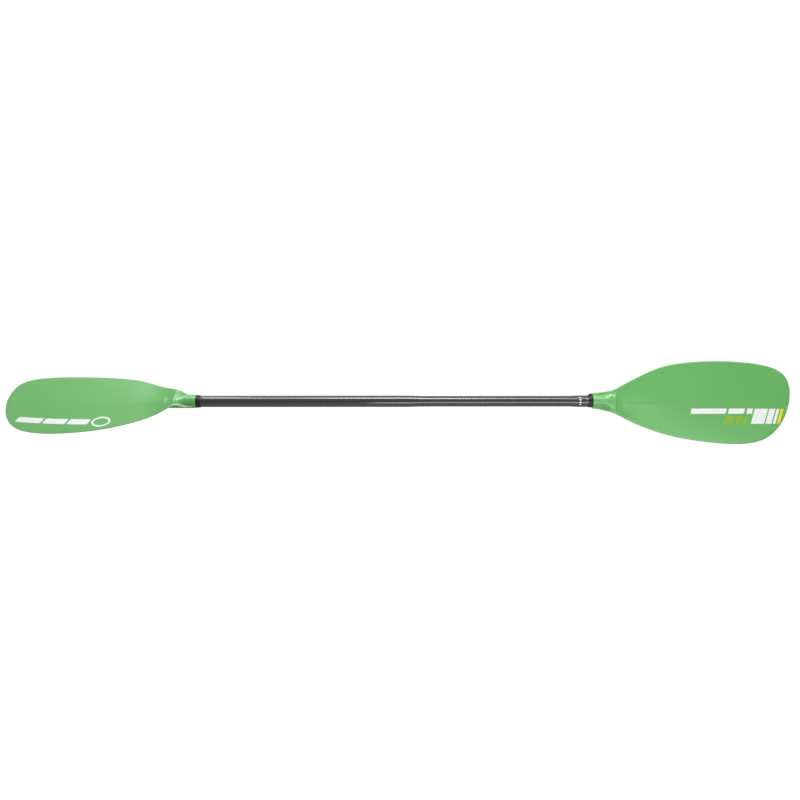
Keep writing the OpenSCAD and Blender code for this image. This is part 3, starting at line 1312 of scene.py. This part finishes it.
@dataclass
class Shaft:
    """The composite tube, round on the left and oval under the right hand, with its index ticks."""

    finishes: dict[str, bpy.types.Material]
    radius: float = 14.3
    wall: float = 2.0
    bond_r: float = 14.2
    oval_half: tuple[float, float] = (15.3, 13.3)
    oval: tuple[float, float] = (80.0, 438.0)
    lead: float = 50.0
    tail: float = 22.0
    sides: int = 96
    ring_step: float = 8.0
    end_lip: float = 0.4
    bond_start: float = 0.3
    tick_start: float = 462.0
    tick_len: float = 5.0
    tick_width: float = 3.0
    tick_corner: float = 0.8
    tick_rows: int = 9
    tick_columns: int = 7
    tick_angles: tuple[float, ...] = (-36.0, -12.0, 12.0, 36.0)

    def __post_init__(self) -> None:
        """Takes the tube's ends from the frame."""
        self.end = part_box("shaft")[1].x / MM
        self.free_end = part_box("right_collar")[0].x / MM

    def blend(self, x: float) -> float:
        """How oval the tube is at a place along it, from 0 to 1."""
        rise = ease((x - self.oval[0] + self.lead) / self.lead)
        fall = ease((self.oval[1] + self.tail - x) / self.tail)
        return min(rise, fall)

    def ring(self, x: float, half_depth: float, half_height: float) -> Loop:
        """Oval ring of points around the axis, in metres.

        Args:
            x: Place along the shaft.
            half_depth: Half the size from front to back.
            half_height: Half the size from top to bottom.

        Returns:
            The ring's points.
        """
        return [(x * MM, half_depth * math.cos(a) * MM, half_height * math.sin(a) * MM)
                for a in turns(self.sides)]

    def skin_ring(self, x: float, inset: float) -> Loop:
        """Outer ring of the tube, pulled in by a distance, in metres."""
        share = self.blend(x)
        return self.ring(x, *(self.radius + (half - self.radius) * share - inset for half in self.oval_half))

    def tube(self) -> None:
        """Builds the tube: bonded ends, free length, and the bore right through."""
        scuff, bore = self.radius - self.bond_r, self.radius - self.wall
        bonded = [self.free_end + self.bond_start, (self.free_end + self.end) / 2, self.end - self.end_lip]
        count = round(2 * self.free_end / self.ring_step)
        skin = [(x, 0.0) for x in spread(-self.free_end, self.free_end, count)]
        skin = [(-x, scuff) for x in reversed(bonded)] + skin + [(x, scuff) for x in bonded]
        skin = [(-self.end, scuff + self.end_lip)] + skin + [(self.end, scuff + self.end_lip)]
        loops = [self.skin_ring(x, inset) for x, inset in skin]
        loops += [self.ring(x, bore, bore) for x in spread(self.end, -self.end, count)]
        points = [p for loop in loops for p in loop]
        piece = Piece("shaft_tube", self.finishes["composite"], "composite", "shaft")
        piece.make(points, ring_faces(len(loops), self.sides, False), crease_deg=30)

    def tick_grid(self, angle: float) -> Grid:
        """Grid of places over one tick with rounded corners.

        Args:
            angle: Angle of the tick's middle around the shaft, 0 at the front.

        Returns:
            The grid, with places as (along, angle).
        """
        places = []
        for f in spread(0.0, 1.0, self.tick_rows - 1):
            half = self.tick_width / 2 - corner_cut(self.tick_corner, min(f, 1 - f) * self.tick_len)
            places += [(self.tick_start + self.tick_len * f, angle + across / self.radius)
                       for across in spread(-half, half, self.tick_columns - 1)]
        return Grid(self.tick_rows, self.tick_columns, False, places)

    def lifted(self, x: float, angle: float, lift: float) -> Point:
        """Point on the round tube raised by a distance, in metres."""
        r = (self.radius + lift) * MM
        return x * MM, -r * math.cos(angle), r * math.sin(angle)

    def ticks(self) -> None:
        """Builds the four printed ticks that show where the grip ends."""
        grids = [self.tick_grid(math.radians(angle)) for angle in self.tick_angles]
        points = [self.lifted(x, a, lift) for grid in grids for lift in FILM_LIFTS for x, a in grid.places]
        piece = Piece("index_tick_film", self.finishes["white_film"], "white_film", "index_marks")
        piece.make(points, film_faces(grids), crease_deg=40)

    def build(self) -> None:
        """Builds and dresses the tube and its ticks."""
        self.tube()
        self.ticks()


# ---------------------------------------------------------------- studio


@dataclass(frozen=True)
class SoftLight:
    """One area light, in metres: where it hangs, what it points at, its size and its face's brightness."""

    name: str
    place: Point
    target: Point
    size: tuple[float, float]
    radiance: float

    def build(self) -> None:
        """Makes the light."""
        data = bpy.data.lights.new(self.name, "AREA")
        data.shape = "RECTANGLE"
        data.size, data.size_y = self.size
        data.energy = self.radiance * math.pi * self.size[0] * self.size[1]
        light = bpy.data.objects.new(self.name, data)
        light.visible_camera = False
        light.location = self.place
        light.rotation_euler = (Vector(self.target) - Vector(self.place)).to_track_quat("-Z", "Y").to_euler()
        bpy.context.scene.collection.objects.link(light)


@dataclass(frozen=True)
class Studio:
    """White studio, in metres: camera, pale floor, even ambient light and soft lights."""

    distance: float = 1.65
    view_width: float = 2.0096
    yaw: float = 0.023
    elevation_deg: float = -1.6
    aim: Point = (0.0174, 0.0, 0.0032)
    floor_drop: float = 0.36
    floor_radius: float = 14.0
    floor_grey: Colour = (0.5, 0.5, 0.5)
    ambient: float = 0.3
    camera_white: float = 1.05
    floor_glow: float = 0.9
    lights: tuple[SoftLight, ...] = (
        SoftLight("overhead_strip", (-0.1, -0.49, 1.1), (-0.1, 0.0, 0.0), (1.7, 0.46), 3.7),
        SoftLight("overhead_centre", (0.0, -0.49, 1.09), (0.0, 0.0, 0.0), (0.7, 0.36), 3.6),
        SoftLight("back_panel", (0.0, 0.5, 1.3), (0.0, 0.0, 0.0), (2.6, 1.2), 0.4),
        SoftLight("low_strip", (0.26, -0.34, -0.21), (0.26, 0.0, 0.0), (0.66, 0.18), 1.8),
        SoftLight("low_right_strip", (0.62, -0.34, -0.21), (0.62, 0.0, 0.0), (0.74, 0.18), 1.5),
        SoftLight("low_far_strip", (0.93, -0.75, -0.17), (0.7, 0.0, 0.0), (0.4, 0.12), 1.3),
        SoftLight("right_high", (1.25, -0.75, 1.0), (0.8, 0.0, 0.0), (0.8, 0.8), 3.4),
        SoftLight("left_wall", (-2.0, -0.8, 0.8), (-0.75, 0.0, 0.0), (1.2, 1.2), 0.9),
        SoftLight("left_zenith", (-0.9, 0.02, 1.1), (-0.9, 0.0, 0.0), (0.5, 0.5), 2.0))

    def camera(self) -> None:
        """Makes the camera, a little below the shaft and almost square to it."""
        data = bpy.data.cameras.new("camera")
        camera = bpy.data.objects.new("camera", data)
        data.lens = data.sensor_width * self.distance / self.view_width
        tilt = math.radians(self.elevation_deg)
        back = Vector((math.sin(self.yaw), -math.cos(self.yaw) * math.cos(tilt), math.sin(tilt)))
        camera.location = Vector(self.aim) + back * self.distance
        camera.rotation_euler = (-back).to_track_quat("-Z", "Y").to_euler()
        bpy.context.scene.collection.objects.link(camera)
        bpy.context.scene.camera = camera

    def floor(self) -> None:
        """Makes the pale floor, well below the paddle."""
        bm = bmesh.new()
        bmesh.ops.create_circle(bm, cap_ends=True, segments=128, radius=self.floor_radius)
        mesh = bpy.data.meshes.new("studio_floor")
        bm.to_mesh(mesh)
        bm.free()
        floor = bpy.data.objects.new("studio_floor", mesh)
        floor.location = (0.0, 0.0, CAD_BOX[0].z - self.floor_drop)
        material = bpy.data.materials.new("floor_paper")
        material.use_nodes = True
        g = MaterialGraph(material)
        g.put("Base Color", rgba(self.floor_grey))
        g.put("Roughness", 0.9)
        g.put("Specular IOR Level", 0.0)
        g.put("Emission Color", rgba(WHITE))
        g.put("Emission Strength", g.math("MULTIPLY", g.seen_directly(), self.floor_glow))
        mesh.materials.append(material)
        bpy.context.scene.collection.objects.link(floor)

    def world(self) -> None:
        """Sets the even white surroundings."""
        world = bpy.data.worlds.new("studio")
        world.use_nodes = True
        background = world.node_tree.nodes["Background"]
        background.inputs["Color"].default_value = rgba(WHITE)
        g = Graph(world.node_tree)
        extra = g.math("MULTIPLY", g.seen_directly(), self.camera_white - self.ambient)
        g.join(g.math("ADD", extra, self.ambient), background.inputs["Strength"])
        bpy.context.scene.world = world

    def build(self) -> None:
        """Builds the whole studio."""
        self.camera()
        self.floor()
        self.world()
        for light in self.lights:
            light.build()
        bpy.context.scene.view_settings.view_transform = "Standard"
        log.info("studio: %d soft lights", len(self.lights))


def make_finishes() -> dict[str, bpy.types.Material]:
    """Makes every finish once.

    Returns:
        The materials by name.
    """
    effects = Effects()
    finishes = (
        MouldedNylon("blade_nylon", (0.119, 0.484, 0.104), 0.46, specular=1.0),
        WovenComposite("composite", (0.006, 0.006, 0.007), 0.16, specular=1.0, ior=1.65),
        SealRubber("seal_rubber", (0.012, 0.012, 0.012), 0.38),
        PrintedFilm("white_film", (0.96, 0.97, 0.95), 0.35),
        PrintedFilm("lime_film", (0.27, 0.53, 0.05), 0.35),
        PrintedFilm("yellow_film", (0.85, 0.78, 0.03), 0.35),
        CuredResin("adhesive", (0.6, 0.55, 0.4), 0.45, grain=600.0),
        CuredResin("foam", (0.82, 0.82, 0.76), 0.85),
    )
    return {finish.name: finish.build(effects) for finish in finishes}


FEATHER_DEG = 45.0
RIGHT_MARKS = (
    FilmMark("right_stripes", "white_film", Motif.BARS,
             bars_between(-31.5, -18.5, SLANT, (246, 332), (338, 376), (382, 395))),
    FilmMark("right_accent", "lime_film", Motif.BARS,
             bars_between(-56.5, -36.5, SLANT, (328, 352), (356, 370), (374, 384))),
    FilmMark("right_panel", "white_film", Motif.BARS,
             bars_between(-56.5, -19.0, SLANT, (399, 430), (433, 447), (450, 456))),
    FilmMark("right_tag", "yellow_film", Motif.BARS, bars_between(-56.0, -19.0, SLANT, (459, 466))),
)
LEFT_MARKS = (
    FilmMark("left_stripes", "white_film", Motif.BARS,
             bars_between(-75.0, -57.5, -SLANT, (250, 300), (306, 360), (366, 426))),
    FilmMark("left_roundel", "white_film", Motif.RING),
)


def main() -> None:
    """Builds the paddle around the frame, in the order it is assembled."""
    logging.basicConfig(level=logging.INFO, format="%(message)s")
    Studio().build()
    finishes = make_finishes()
    Shaft(finishes).build()
    form = BladeForm()
    body = form.body()
    for side, marks in ((Side.RIGHT, RIGHT_MARKS), (Side.LEFT, LEFT_MARKS)):
        BladeEnd(side, FEATHER_DEG, form, finishes, marks).build(body)


if __name__ == "__main__":
    main()
